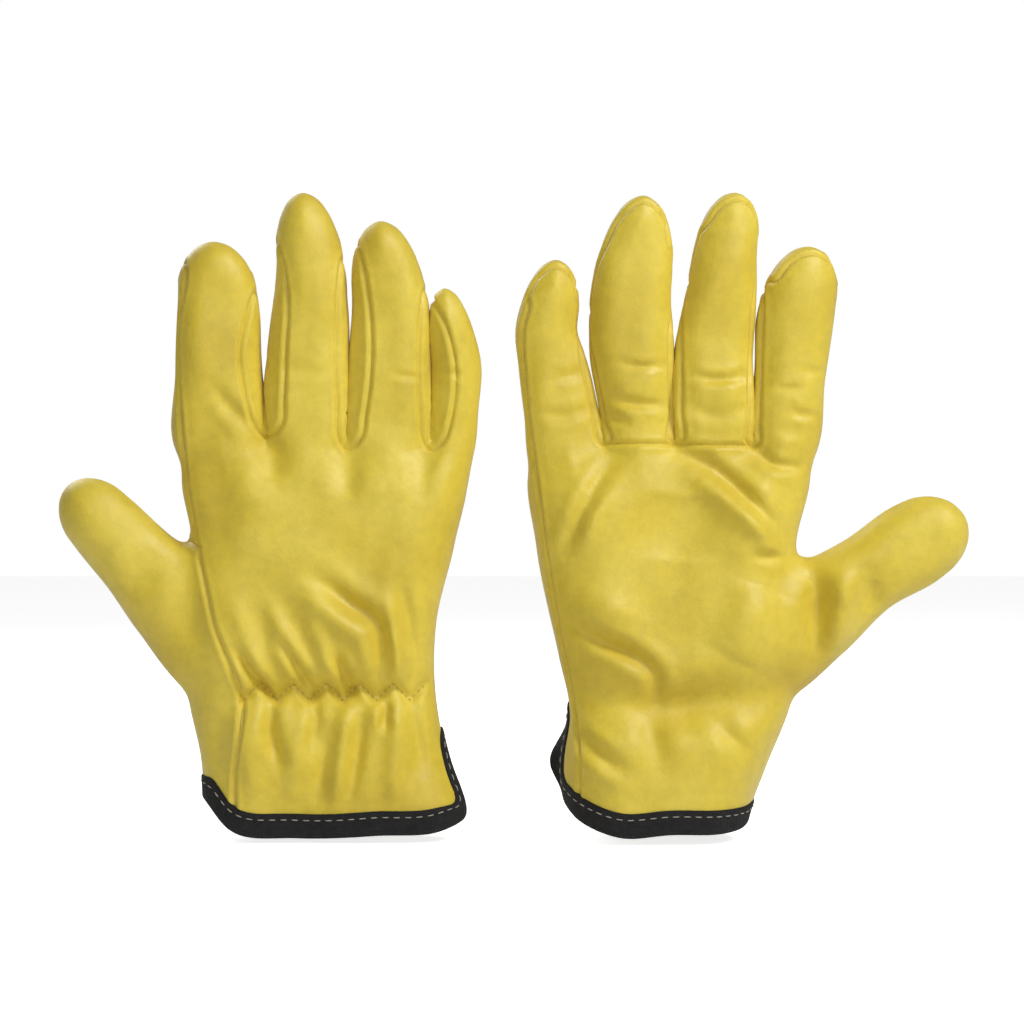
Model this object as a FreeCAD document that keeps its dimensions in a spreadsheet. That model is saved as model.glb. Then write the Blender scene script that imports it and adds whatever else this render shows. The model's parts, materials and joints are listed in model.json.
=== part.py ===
import FreeCAD, Part
import os
from math import atan2, cos, degrees, radians, sin

import Sketcher

# A pair of leather work gloves, standing on their bound cuffs with the fingers up. Millimetres.
#
# Each glove is a thin leather skin around a hollow for the hand. It is first made whole, as an outer form
# less an inner form, and is then cut along its seams into the panels that are sewn together. Every finger
# and thumb is hinged at its middle knuckle, so its far half is cut off there and belongs to its own body.
#
# Both gloves are modelled in one glove frame: +Z towards the fingertips, -X towards the thumb and -Y
# towards the back of the hand. The second glove is then turned half a turn about Z, to show its palm.

V = FreeCAD.Vector
DOC = FreeCAD.newDocument("leather_work_gloves")
SHEET = DOC.addObject("Spreadsheet::Sheet", "Dimensions")
OUT_DIR = "parts"

# Sizes shared by both gloves.
SHARED = {
    "leather": (1.5, "thickness of the leather skin"),
    "binding_skin": (0.9, "thickness of the tape on each side of the leather"),
    "binding_height": (10.0, "height of the tape above the rim"),
    "edge_gap": (1.2, "tape under the leather's cut edge"),
    "thread": (0.6, "diameter of the sewing thread"),
    "thread_height": (7.0, "height of the stitch line above the rim"),
    "knuckle_height": (153.0, "height of the finger roots above the rim"),
    "web_height": (2.5, "height of the leather web in each finger crotch"),
    "web_depth": (14.0, "depth of the web from back to palm"),
    "hinge_gap": (0.4, "gap between the two halves of a finger"),
    "panel_share": (0.6, "share of a finger's width that its back and front panels cover"),
    "finger_hinge_share": (0.36, "place of the middle knuckle along a finger"),
    "finger_upper_share": (0.72, "place of the last joint along a finger"),
    "elastic_low": (52.0, "lower edge of the wrist elastic"),
    "elastic_height": (10.0, "height of the wrist elastic"),
    "elastic_end": (30.0, "half length of the wrist elastic"),
    "label_width": (22.0, "width of the size label"),
    "label_height": (22.0, "height of the size label"),
    "label_low": (12.0, "lower edge of the size label"),
    "slit_height": (34.0, "height of the slit in the little finger side of the cuff"),
    "slit_half": (7.0, "half width of the slit at the rim"),
    "slit_top_half": (0.4, "half width of the slit at its top"),
    "slit_tape": (8.0, "width of the tape along the slit"),
    "slit_start": (20.0, "distance of the slit's wedge from the glove's middle"),
    "slit_overrun": (2.0, "how far the slit's wedge reaches below the rim"),
    "gore_length": (104.0, "length of the leaning part of the thumb's seam"),
}

# The hand's stadium-shaped sections: height, centre, width and thickness.
HAND_STATIONS = ("rim", "cuff", "wrist", "heel", "crotch", "knuckle")
HAND = {
    "first": (
        (0, 4.0, 98, 38),
        (28, 2.0, 98, 36),
        (56, -4.5, 95, 33),
        (84, -3.5, 98, 37),
        (116, -0.7, 101, 35),
        (153, 0.4, 117.5, 27),
    ),
    "second": (
        (0, 3.0, 74, 54),
        (28, 1.0, 78, 50),
        (56, -5.5, 89, 39),
        (84, -3.5, 98, 39),
        (116, -0.2, 101, 36),
        (153, -1.7, 113, 27),
    ),
}

# Each finger: centre and width at its root, its middle knuckle and its last joint, then the tip's
# centre, the length above the root and the thickness.
FINGERS = ("index", "middle", "ring", "little")
FINGER_KEYS = ("root_x", "root_w", "knee_x", "knee_w", "upper_x", "upper_w", "tip_x", "long", "thick")
FINGER = {
    "first": {
        "index": (-40.2, 32.5, -41.9, 32.4, -42.3, 30.4, -42.3, 79.4, 21),
        "middle": (-6.7, 28.4, -7.4, 30.6, -6.3, 25.6, -9.0, 97.4, 21),
        "ring": (23.7, 28.6, 24.5, 29.8, 24.8, 27.4, 21.5, 86.2, 20),
        "little": (49.0, 18.0, 50.2, 19.2, 50.2, 18.4, 47.8, 60.0, 17),
    },
    "second": {
        "index": (-45.3, 25.0, -48.0, 28.4, -51.2, 27.6, -54.6, 76.0, 21),
        "middle": (-17.3, 28.4, -18.0, 28.6, -22.4, 24.2, -25.0, 97.4, 21),
        "ring": (10.9, 24.8, 14.7, 31.2, 13.1, 28.4, 10.6, 95.0, 20),
        "little": (39.7, 28.4, 43.7, 26.2, 46.4, 23.6, 45.0, 70.7, 18),
    },
}

# The thumb: its base centre, how far it leans from upright, its half widths and how far along it they lie.
THUMB_KEYS = ("base_x", "base_z", "lean", "base_half", "mid_at", "mid_half", "far_at", "far_half",
              "long", "base_thick", "far_thick", "hinge_at", "root_back")
THUMB = {
    "first": (-59.2, 92.9, 42.4, 19.5, 20, 15.5, 40, 14.0, 61, 27, 22, 24, 40),
    "second": (-56.9, 88.2, 55.6, 19.5, 26, 15.5, 48, 14.6, 69, 27, 22, 30, 40),
}

# The seam from the thumb crotch down to the wrist: where it meets the wrist, and how far it leans.
SEAM_KEYS = ("seam_x", "seam_z", "seam_lean")
SEAM = {"first": (-31.0, 54.0, 18.0), "second": (-31.0, 54.0, 20.5)}

# Where each glove stands, and its turn about Z.
STAND = {"first": (-72.4, 0.0), "second": (60.35, 180.0)}

# Rounding of a fingertip: distance below the tip and share of the last width.
TIP_ROUNDING = (("shoulder", 9.0, 0.88), ("crown", 2.4, 0.52), ("top", 0.0, 0.14))

# Lengths past the whole glove and past any finger, and the spans of a finger's two sides.
FAR = 300.0
REACH = 60.0
BACK = (-REACH, 0.0)
PALM = (0.0, REACH)
BOTH = (-REACH, REACH)
ALL_HEIGHTS = (-REACH, 2 * REACH)


def fill_sheet():
    """Writes every driving size to the sheet as a plain number with an alias."""
    rows = [(name, value, note) for name, (value, note) in SHARED.items()]
    for glove in HAND:
        for station, sizes in zip(HAND_STATIONS, HAND[glove]):
            for key, value in zip(("level", "centre", "width", "thick"), sizes):
                rows.append((f"{glove}_{station}_{key}", value, f"hand section at the {station}"))
        for finger in FINGERS:
            for key, value in zip(FINGER_KEYS, FINGER[glove][finger]):
                rows.append((f"{glove}_{finger}_{key}", value, f"{finger} finger"))
        for key, value in zip(THUMB_KEYS, THUMB[glove]):
            rows.append((f"{glove}_thumb_{key}", value, "thumb"))
        for key, value in zip(SEAM_KEYS, SEAM[glove]):
            rows.append((f"{glove}_{key}", value, "seam from the thumb crotch to the wrist"))
    for number, (alias, value, note) in enumerate(rows, start=1):
        SHEET.set(f"A{number}", alias)
        SHEET.set(f"B{number}", str(value))
        SHEET.set(f"C{number}", note)
        SHEET.setAlias(f"B{number}", alias)
    DOC.recompute()


def size(alias):
    """The sheet's value of a size, for placing things."""
    return float(SHEET.get(alias))


def cell(alias):
    """The sheet's cell of a size, for an expression."""
    return f"Dimensions.{alias}"


def at(x, y, z, axis=V(0, 0, 1), angle=0.0):
    return FreeCAD.Placement(V(x, y, z), FreeCAD.Rotation(axis, angle))


def leaning(x, z, lean):
    """A placement whose +Z leans towards -X by that many degrees."""
    return at(x, 0, z, V(0, -1, 0), lean)


# --- shapes bound to the sheet ---------------------------------------------------------------------


def block(name, length, width, height, placement):
    """A box, centred on its placement in Y, whose sides are expressions or plain numbers."""
    box = DOC.addObject("Part::Box", name)
    for side, value in (("Length", length), ("Width", width), ("Height", height)):
        box.setExpression(side, str(value))
    box.Placement = placement
    return box


def ellipse(name, half_x, half_y, placement):
    section = DOC.addObject("Part::Ellipse", name)
    section.setExpression("MajorRadius", half_x)
    section.setExpression("MinorRadius", half_y)
    section.Placement = placement
    return section


def stadium(name, width, thick, placement, first_width, first_thick):
    """A sketch of two half circles joined by two straight lines, centred on its placement."""
    sketch = DOC.addObject("Sketcher::SketchObject", name)
    radius = first_thick / 2
    reach = first_width / 2 - radius
    quarter = radians(90)
    up = V(0, 0, 1)
    sketch.addGeometry(Part.ArcOfCircle(Part.Circle(V(-reach, 0, 0), up, radius), quarter, 3 * quarter))
    sketch.addGeometry(Part.LineSegment(V(-reach, -radius, 0), V(reach, -radius, 0)))
    sketch.addGeometry(Part.ArcOfCircle(Part.Circle(V(reach, 0, 0), up, radius), -quarter, quarter))
    sketch.addGeometry(Part.LineSegment(V(reach, radius, 0), V(-reach, radius, 0)))
    for edge in range(4):
        sketch.addConstraint(Sketcher.Constraint("Tangent", edge, 2, (edge + 1) % 4, 1))
    sketch.addConstraint(Sketcher.Constraint("Symmetric", 0, 3, 2, 3, -1, 1))
    sketch.addConstraint(Sketcher.Constraint("PointOnObject", 0, 3, -1))
    sketch.addConstraint(Sketcher.Constraint("Equal", 0, 2))
    bend = sketch.addConstraint(Sketcher.Constraint("Radius", 0, radius))
    span = sketch.addConstraint(Sketcher.Constraint("DistanceX", 0, 3, 2, 3, 2 * reach))
    sketch.setExpression(f"Constraints[{bend}]", f"({thick}) / 2")
    sketch.setExpression(f"Constraints[{span}]", f"({width}) - ({thick})")
    sketch.Placement = placement
    return sketch


def loft(name, sections):
    form = DOC.addObject("Part::Loft", name)
    form.Sections = sections
    form.Solid = True
    form.Ruled = True
    return form


def cut(name, base, tool):
    made = DOC.addObject("Part::Cut", name)
    made.Base = base
    made.Tool = tool
    return made


def carve(name, base, tools):
    """Takes one tool after another from a base."""
    for number, tool in enumerate(tools, start=1):
        base = cut(f"{name}_{number}", base, tool)
    return base


def common(name, *shapes):
    made = DOC.addObject("Part::MultiCommon", name)
    made.Shapes = list(shapes)
    return made


def fuse(name, *shapes):
    made = DOC.addObject("Part::MultiFuse", name)
    made.Shapes = list(shapes)
    return made


def slab(name, low, high):
    """Everything between two heights."""
    return block(name, 2 * FAR, 2 * FAR, f"({high}) - ({low})", at(-FAR, -FAR, evaluate(low)))


def evaluate(expression):
    """The number that an expression of the sheet's cells and plain numbers stands for."""
    total = 0.0
    for term in expression.replace("- ", "+ -").split("+"):
        term = term.strip()
        sign = -1.0 if term.startswith("-") else 1.0
        term = term.lstrip("-").strip()
        total += sign * (size(term.split(".")[1]) if term.startswith("Dimensions.") else float(term))
    return total


def half(name, back):
    """Everything on the back of the hand, or everything on the palm side."""
    return block(name, 2 * FAR, FAR, 2 * FAR, at(-FAR, -FAR if back else 0, -FAR))


# --- the forms of one glove ------------------------------------------------------------------------


def hand_form(glove, name, grow):
    """The hand's form, grown or shrunk all round. A shrunk one also stops short of the finger roots."""
    sections = []
    for station in HAND_STATIONS:
        stem = f"{glove}_{station}"
        level = size(f"{stem}_level")
        change = evaluate(grow)
        if station == "rim" and change != 0:
            level -= abs(change)
        if station == "knuckle" and change < 0:
            level += change
        sections.append(stadium(
            f"{name}_{station}",
            f"{cell(stem + '_width')} + 2 * ({grow})",
            f"{cell(stem + '_thick')} + 2 * ({grow})",
            at(size(f"{stem}_centre"), 0, level),
            size(f"{stem}_width") + 2 * change,
            size(f"{stem}_thick") + 2 * change,
        ))
    return loft(name, sections)


def rounded_form(name, stations, tip, inside):
    """A finger-shaped form through elliptical sections: (half width, half thickness, placement)."""
    inset = f" - {cell('leather')}" if inside else ""
    sections = [
        ellipse(f"{name}_section_{number}", half_x + inset, half_y + inset, placement)
        for number, (half_x, half_y, placement) in enumerate(stations)
    ]
    half_x, half_y, places = tip
    for (label, _, share), placement in zip(TIP_ROUNDING, places):
        shrink = f"{share} * ({half_x}{inset})", f"{share} * ({half_y}{inset})"
        sections.append(ellipse(f"{name}_{label}", *shrink, placement))
    return loft(name, sections)


def finger_form(glove, finger, inside):
    """A finger from its root at the knuckles to its tip."""
    stem = f"{glove}_{finger}"
    root = size("knuckle_height")
    long = size(f"{stem}_long")
    thick = f"{cell(stem + '_thick')} / 2"
    below = 2 * size("leather") if inside else 0.0
    levels = {
        "root": root - below,
        "knee": root + size("finger_hinge_share") * long,
        "upper": root + size("finger_upper_share") * long,
    }
    stations = [
        (f"{cell(f'{stem}_{key}_w')} / 2", thick, at(size(f"{stem}_{key}_x"), 0, level))
        for key, level in levels.items()
    ]
    top = root + long - (size("leather") if inside else 0.0)
    upper_x = size(f"{stem}_upper_x")
    tip_x = size(f"{stem}_tip_x")
    places = [
        at(tip_x + (upper_x - tip_x) * (0.5 if label == "shoulder" else 0.0), 0, top - drop)
        for label, drop, _ in TIP_ROUNDING
    ]
    tip = (f"{cell(stem + '_upper_w')} / 2", thick, places)
    side = "void" if inside else "form"
    return rounded_form(f"{stem}_{side}", stations, tip, inside)


def thumb_place(glove, along):
    """The thumb's placement that far along it from its base, with +Z towards the tip."""
    stem = f"{glove}_thumb"
    lean = size(f"{stem}_lean")
    x = size(f"{stem}_base_x") - along * sin(radians(lean))
    z = size(f"{stem}_base_z") + along * cos(radians(lean))
    return leaning(x, z, lean)


def thumb_form(glove, inside):
    """The thumb, from inside the hand's form to its tip."""
    stem = f"{glove}_thumb"
    base = (cell(f"{stem}_base_half"), f"{cell(stem + '_base_thick')} / 2")
    middle_thick = f"({cell(stem + '_base_thick')} + {cell(stem + '_far_thick')}) / 4"
    far = (cell(f"{stem}_far_half"), f"{cell(stem + '_far_thick')} / 2")
    stations = [
        (*base, thumb_place(glove, -size(f"{stem}_root_back"))),
        (*base, thumb_place(glove, 0)),
        (cell(f"{stem}_mid_half"), middle_thick, thumb_place(glove, size(f"{stem}_mid_at"))),
        (*far, thumb_place(glove, size(f"{stem}_far_at"))),
    ]
    end = size(f"{stem}_long") - (size("leather") if inside else 0.0)
    places = [thumb_place(glove, end - drop) for _, drop, _ in TIP_ROUNDING]
    side = "void" if inside else "form"
    return rounded_form(f"{stem}_{side}", stations, (*far, places), inside)


def webs(glove):
    """The leather webs that close the crotches between the fingers."""
    made = []
    level = size("knuckle_height")
    for near, far in zip(FINGERS, FINGERS[1:]):
        start = size(f"{glove}_{near}_root_x")
        length = f"{cell(f'{glove}_{far}_root_x')} - {cell(f'{glove}_{near}_root_x')}"
        name = f"{glove}_web_{near}_{far}"
        made.append(block(name, length, cell("web_depth"), cell("web_height"),
                          at(start, -size("web_depth") / 2, level)))
    return made


def slit(glove, name, grow):
    """The wedge of the cuff's slit, grown all round."""
    wedge = DOC.addObject("Part::Wedge", f"{glove}_{name}")
    wide = f"{cell('slit_half')} + ({grow})"
    narrow = f"{cell('slit_top_half')} + ({grow})"
    for side, value in (
        ("Xmin", "0"), ("Xmax", f"{REACH}"), ("X2min", "0"), ("X2max", f"{REACH}"),
        ("Ymin", f"-{cell('slit_overrun')}"), ("Ymax", f"{cell('slit_height')} + ({grow})"),
        ("Zmin", f"-({wide})"), ("Zmax", wide), ("Z2min", f"-({narrow})"), ("Z2max", narrow),
    ):
        wedge.setExpression(side, value)
    wedge.Placement = at(size("slit_start"), 0, 0, V(1, 0, 0), 90)
    return wedge


# --- cutting the skin along its seams --------------------------------------------------------------


def finger_block(glove, finger, name, x_span, y_span, z_span):
    """A block in a finger's frame, which stands on its root and leans with it."""
    spans = x_span, y_span, z_span
    lows = [low for low, _ in spans]
    sides = [high - low for low, high in spans]
    frame = leaning(size(f"{glove}_{finger}_root_x"), size("knuckle_height"), lean_of(glove, finger))
    return block(f"{glove}_{finger}_{name}", *sides, frame.multiply(at(*lows)))


def hinge_of(glove, finger):
    """How far above a finger's root its middle knuckle lies."""
    return size("finger_hinge_share") * size(f"{glove}_{finger}_long")


def panel_span(glove, finger):
    """The span of a finger's back and front panels. They go round a side that has no fourchette."""
    edge = size("panel_share") * size(f"{glove}_{finger}_knee_w") / 2
    return (-REACH if finger == FINGERS[0] else -edge), (REACH if finger == FINGERS[-1] else edge)


def near_block(glove, finger, side, y_span):
    """The space of a finger's back or front panel below its middle knuckle."""
    top = hinge_of(glove, finger) - size("hinge_gap") / 2
    return finger_block(glove, finger, f"near_{side}", panel_span(glove, finger), y_span, (-REACH, top))


def lean_of(glove, finger):
    """How far a finger leans towards the thumb side, in degrees, from its root to its last joint."""
    stem = f"{glove}_{finger}"
    run = size(f"{stem}_root_x") - size(f"{stem}_upper_x")
    climb = size("finger_upper_share") * size(f"{stem}_long")
    return degrees(atan2(run, climb))


def finish(shape, node, glove):
    """Names a sub-part and stands it in its place."""
    shape.Label = node
    x, turn = STAND[glove]
    shape.Placement = at(x, 0, 0, V(0, 0, 1), turn)
    return shape


def tip_nodes(glove, finger, form, void):
    """The panels of a finger beyond its middle knuckle."""
    skin = cut(f"{glove}_{finger}_skin", form, void)
    low, high = panel_span(glove, finger)
    zones = [("back", (low, high), BACK), ("front", (low, high), PALM)]
    if finger != FINGERS[0]:
        zones.append(("fourchette_thumb_side", (-REACH, low), BOTH))
    if finger != FINGERS[-1]:
        zones.append(("fourchette_little_side", (high, REACH), BOTH))
    beyond = hinge_of(glove, finger) + size("hinge_gap") / 2, 2 * REACH
    nodes = []
    for side, x_span, y_span in zones:
        zone = finger_block(glove, finger, f"far_{side}", x_span, y_span, beyond)
        node = f"{glove}_{finger}_tip_{side}"
        nodes.append(finish(common(node, skin, zone), node, glove))
    return nodes


def fourchette(glove, near, far, skin, above):
    """The strip that lines the gap between two fingers, up to the middle knuckle of each."""
    stem = f"{glove}_fourchette_{near}_{far}"
    after_near = (panel_span(glove, near)[1], REACH)
    before_far = (-REACH, panel_span(glove, far)[0])
    gap = common(
        f"{stem}_gap",
        finger_block(glove, near, "after", after_near, BOTH, ALL_HEIGHTS),
        finger_block(glove, far, "before", before_far, BOTH, ALL_HEIGHTS),
        above,
    )
    tips = []
    for finger, side in ((near, (-REACH, 0.0)), (far, (0.0, REACH))):
        bottom = hinge_of(glove, finger) - size("hinge_gap") / 2
        tips.append(common(
            f"{stem}_{finger}_tip",
            finger_block(glove, finger, f"tip_by_{stem}", BOTH, BOTH, (bottom, 2 * REACH)),
            beside_divider(f"{stem}_{finger}_side", glove, near, far, side),
        ))
    return common(stem, skin, carve(f"{stem}_zone", gap, tips))


def beside_divider(name, glove, near, far, side):
    """The space on one side of the plane that runs up midway between two fingers."""
    feet = []
    for joint in ("root", "knee"):
        edges = [
            size(f"{glove}_{finger}_{joint}_x") + way * size(f"{glove}_{finger}_{joint}_w") / 2
            for finger, way in ((near, 1), (far, -1))
        ]
        feet.append(sum(edges) / 2)
    rise = (hinge_of(glove, near) + hinge_of(glove, far)) / 2
    frame = leaning(feet[0], size("knuckle_height"), degrees(atan2(feet[0] - feet[1], rise)))
    low, high = side
    return block(name, high - low, 2 * REACH, 3 * REACH, frame.multiply(at(low, -REACH, -REACH)))


def glove_nodes(glove):
    """All the sub-parts of one glove."""
    prefix = f"{glove}_"
    leather = cell("leather")
    outer = hand_form(glove, prefix + "hand_form", "0")
    inner = hand_form(glove, prefix + "hand_void", f"-{leather}")
    tape_outer = hand_form(glove, prefix + "tape_form", cell("binding_skin"))
    tape_inner = hand_form(glove, prefix + "tape_void", f"-{leather} - {cell('binding_skin')}")
    thread_outer = hand_form(glove, prefix + "thread_form", f"{cell('binding_skin')} + {cell('thread')}")
    forms = {finger: finger_form(glove, finger, False) for finger in FINGERS}
    voids = {finger: finger_form(glove, finger, True) for finger in FINGERS}
    thumb, thumb_void = thumb_form(glove, False), thumb_form(glove, True)

    whole = fuse(prefix + "whole_form", outer, thumb, *forms.values(), *webs(glove))
    skin = carve(prefix + "skin", whole, [inner, thumb_void, *voids.values()])

    # Cutters in the glove frame.
    above = slab(prefix + "above_knuckles", cell("knuckle_height"), f"{FAR}")
    joined = slab(prefix + "joined_above", f"{cell('knuckle_height')} - {leather}", f"{FAR}")
    below = slab(prefix + "hand_zone", cell("edge_gap"), cell("knuckle_height"))
    back_half, palm_half = half(prefix + "back_half", True), half(prefix + "palm_half", False)
    leather_slit = slit(glove, "leather_slit", cell("edge_gap"))
    tape_slit = slit(glove, "tape_slit", "0")
    tape_zone = slit(glove, "tape_zone", cell("slit_tape"))
    thumb_cut = beyond_thumb_hinge(glove, "thumb_cut", "-")
    thumb_zone = beyond_thumb_hinge(glove, "thumb_zone", "+")
    gore = gore_cutter(glove)

    hand_zone = cut(prefix + "hand_zone_slit", below, leather_slit)
    hand_near = cut(prefix + "hand_zone_near", hand_zone, thumb_cut)
    back_zone = cut(prefix + "back_zone", common(prefix + "back_zone_half", hand_near, back_half), gore)
    gore_zone = common(prefix + "gore_zone", common(prefix + "gore_half", hand_near, back_half), gore)
    palm_zone = common(prefix + "palm_zone", hand_near, palm_half)

    nodes = []

    def add(shape, node):
        nodes.append(finish(shape, node, glove))

    backs = [near_block(glove, finger, "back", BACK) for finger in FINGERS]
    raised = [common(f"{shape.Name}_joined", shape, joined) for shape in backs]
    add(common(prefix + "back_panel", skin, fuse(prefix + "back_cutter", back_zone, *raised)),
        prefix + "back_panel")
    fronts = {finger: near_block(glove, finger, "front", PALM) for finger in FINGERS}
    raised = [common(f"{fronts[finger].Name}_joined", fronts[finger], joined) for finger in ("index", "little")]
    add(common(prefix + "palm_panel", skin, fuse(prefix + "palm_cutter", palm_zone, *raised)),
        prefix + "palm_panel")
    add(common(prefix + "thumb_back", skin, gore_zone), prefix + "thumb_back")
    for finger in ("middle", "ring"):
        node = f"{prefix}{finger}_front"
        add(common(node, skin, fronts[finger], above), node)
    for near, far in zip(FINGERS, FINGERS[1:]):
        add(fourchette(glove, near, far, skin, above), f"{prefix}fourchette_{near}_{far}")

    for finger in FINGERS:
        nodes.extend(tip_nodes(glove, finger, forms[finger], voids[finger]))
    thumb_skin = cut(prefix + "thumb_skin", thumb, thumb_void)
    for side, zone in (("back", back_half), ("front", palm_half)):
        node = f"{prefix}thumb_tip_{side}"
        add(common(node, thumb_skin, thumb_zone, zone), node)

    # The tape round the rim and along the slit, folded over the leather's edge.
    edge = cut(prefix + "edge_band", common(prefix + "edge_zone", cut(prefix + "edge_skin", outer, inner), below),
               leather_slit)
    rim = slab(prefix + "rim_zone", "0", cell("binding_height"))
    upright = slab(prefix + "above_rim", "0", f"{FAR}")
    tape_space = common(prefix + "tape_space", fuse(prefix + "tape_zones", rim, tape_zone), upright)
    tape_body = common(prefix + "tape_body", cut(prefix + "tape_skin", tape_outer, tape_inner),
                       cut(prefix + "tape_open", tape_space, tape_slit))
    add(cut(prefix + "cuff_binding", tape_body, edge), prefix + "cuff_binding")

    line = slab(prefix + "binding_thread_zone", cell("thread_height"),
                f"{cell('thread_height')} + {cell('thread')}")
    add(common(prefix + "binding_thread", cut(prefix + "thread_skin", thread_outer, tape_outer),
               cut(prefix + "binding_thread_open", line, leather_slit)), prefix + "binding_thread")

    # The elastic behind the back panel, and the line of thread that holds it.
    lining = cut(prefix + "lining_space", inner, tape_inner)
    elastic = block(prefix + "elastic_zone", 2 * size("elastic_end"), FAR, cell("elastic_height"),
                    at(-size("elastic_end"), -FAR, size("elastic_low")))
    add(common(prefix + "wrist_elastic", lining, elastic), prefix + "wrist_elastic")
    middle = size("elastic_low") + size("elastic_height") / 2
    seam = block(prefix + "elastic_thread_zone", 2 * size("elastic_end"), FAR, cell("thread"),
                 at(-size("elastic_end"), -FAR, middle))
    add(common(prefix + "elastic_thread", cut(prefix + "tape_layer", tape_outer, outer), seam),
        prefix + "elastic_thread")
    label = block(prefix + "label_zone", cell("label_width"), FAR, cell("label_height"),
                  at(-size("label_width") / 2, 0, size("label_low")))
    add(common(prefix + "size_label", lining, label), prefix + "size_label")
    return nodes


def beyond_thumb_hinge(glove, name, side):
    """Everything beyond one face of the gap in the thumb's hinge."""
    gap = size("hinge_gap") / 2
    hinge = size(f"{glove}_thumb_hinge_at") + (gap if side == "+" else -gap)
    frame = thumb_place(glove, hinge).multiply(at(-REACH / 2, -REACH, 0))
    return block(f"{glove}_{name}", REACH, 2 * REACH, 2 * REACH, frame)


def gore_cutter(glove):
    """The space on the thumb side of the seam that runs from the thumb crotch to the wrist and the rim."""
    x, z = size(f"{glove}_seam_x"), size(f"{glove}_seam_z")
    lower = block(f"{glove}_gore_low", REACH, REACH, z + REACH, at(x - REACH, -REACH, -REACH))
    frame = leaning(x, z, size(f"{glove}_seam_lean")).multiply(at(-2 * REACH, -REACH, 0))
    upper = block(f"{glove}_gore_high", 2 * REACH, REACH, cell("gore_length"), frame)
    return fuse(f"{glove}_gore", lower, upper)


def check_and_write(nodes):
    """Stops on any failed object, then writes each sub-part to its own file."""
    DOC.recompute()
    failed = [o.Name for o in DOC.Objects if "Invalid" in o.State or "Error" in o.State]
    if failed:
        raise RuntimeError(f"failed objects: {failed}")
    os.makedirs(OUT_DIR, exist_ok=True)
    for node in nodes:
        shape = node.Shape
        if shape.isNull() or not shape.isValid() or not shape.Solids:
            raise RuntimeError(f"{node.Label} has no valid solid")
        shape.exportStep(os.path.join(OUT_DIR, f"{node.Label}.step"))
        print(f"{node.Label}: {len(shape.Solids)} solids, {shape.Volume / 1000:.2f} cm3")


def main():
    fill_sheet()
    nodes = []
    for glove in HAND:
        nodes.extend(glove_nodes(glove))
    check_and_write(nodes)
    print(f"{len(nodes)} sub-parts")


main()
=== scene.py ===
import json
import math

import bpy
import numpy as np
import openvdb
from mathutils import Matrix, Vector
from mathutils.kdtree import KDTree


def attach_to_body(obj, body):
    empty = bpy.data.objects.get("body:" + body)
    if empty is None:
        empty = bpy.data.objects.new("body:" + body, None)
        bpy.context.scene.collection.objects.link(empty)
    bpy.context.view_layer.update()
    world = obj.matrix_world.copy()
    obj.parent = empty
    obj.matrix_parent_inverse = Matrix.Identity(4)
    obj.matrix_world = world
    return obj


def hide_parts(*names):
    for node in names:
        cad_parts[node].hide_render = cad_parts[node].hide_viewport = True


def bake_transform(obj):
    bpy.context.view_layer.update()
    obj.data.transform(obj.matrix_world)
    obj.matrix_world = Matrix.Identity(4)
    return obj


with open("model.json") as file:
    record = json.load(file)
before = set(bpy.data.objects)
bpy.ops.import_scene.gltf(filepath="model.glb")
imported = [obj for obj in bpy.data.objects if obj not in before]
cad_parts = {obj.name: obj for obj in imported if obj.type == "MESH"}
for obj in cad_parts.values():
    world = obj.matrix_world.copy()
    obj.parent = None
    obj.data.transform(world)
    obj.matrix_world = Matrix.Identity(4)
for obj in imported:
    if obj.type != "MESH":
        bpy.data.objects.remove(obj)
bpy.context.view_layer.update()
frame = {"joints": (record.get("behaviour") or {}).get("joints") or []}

# Millimetres in the glove frame: +Z to the fingertips, -X to the thumb, -Y to the back of the hand.
MM = 0.001
CELL = 1.0
LEATHER = 1.3
TAPE = 0.9
BINDING = 9.5
# The leather's cut edge lies this far above the rim, inside the tape's fold.
CUT_EDGE = 1.0
FINGERS = ("index", "middle", "ring", "little")
PLACE = {"first": (-72.4, 1.0), "second": (60.35, -1.0)}
BACK, PALM = -1, 1
# The slope of the slit's sides, and how the tape keeps to the little finger's side of this x.
SLIT_SLOPE, SLIT_FROM, SLIT_FADE, RIM_BLEND = 0.85, 25, 0.6, 6.0
# The second cuff flares on the back beside the slit: how far, at what height and over what height.
FLARE, FLARE_HEIGHT, FLARE_SPAN = 5.5, 29, 10
# How many times deeper the folds are than their strokes say.
FOLD_DEPTH = 1.35
# The groove and the rounded lips of a seam, and how far from the seam they reach.
SEAM_DEPTH, SEAM_REACH = 1.05, 1.5
LIP_HEIGHT, LIP_PLACE, LIP_WIDTH = 0.30, 2.3, 0.9
# The skin is cut along lines at these distances from each seam, so that the groove has points to sink.
SEAM_CUTS = (0.0, -0.45, 0.45, -1.1, 1.1, -2.0, 2.0)
# A finger is cut this far below its hinge, the thumb a little less, and the last number is a bend reach.
FINGER_CUT, THUMB_CUT_BELOW, BEND_REACH = 12.5, 11.5, 10
# Below this height nothing belongs to a fingertip, and above the next nothing to the thumb.
FINGERS_FROM, THUMB_TO = 145, 150
# Stitches as length, pitch, thickness and rise above the skin.
BINDING_STITCH = (2.6, 4.3, 0.46, -0.05)
ELASTIC_STITCH = (1.7, 2.5, 0.5, -0.1)
# The stitch line lies this far inside the binding's edge.
STITCH_INSET = 2.4
# The wrist elastic and the size label: x and height from and to, then their two depths inside the skin.
ELASTIC_BOX, ELASTIC_DEPTHS = (-30, 30, 52, 62), (-1.4, -2.3)
LABEL_BOX, LABEL_DEPTHS = (-11, 11, 12, 34), (-1.4, -1.9)
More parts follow.
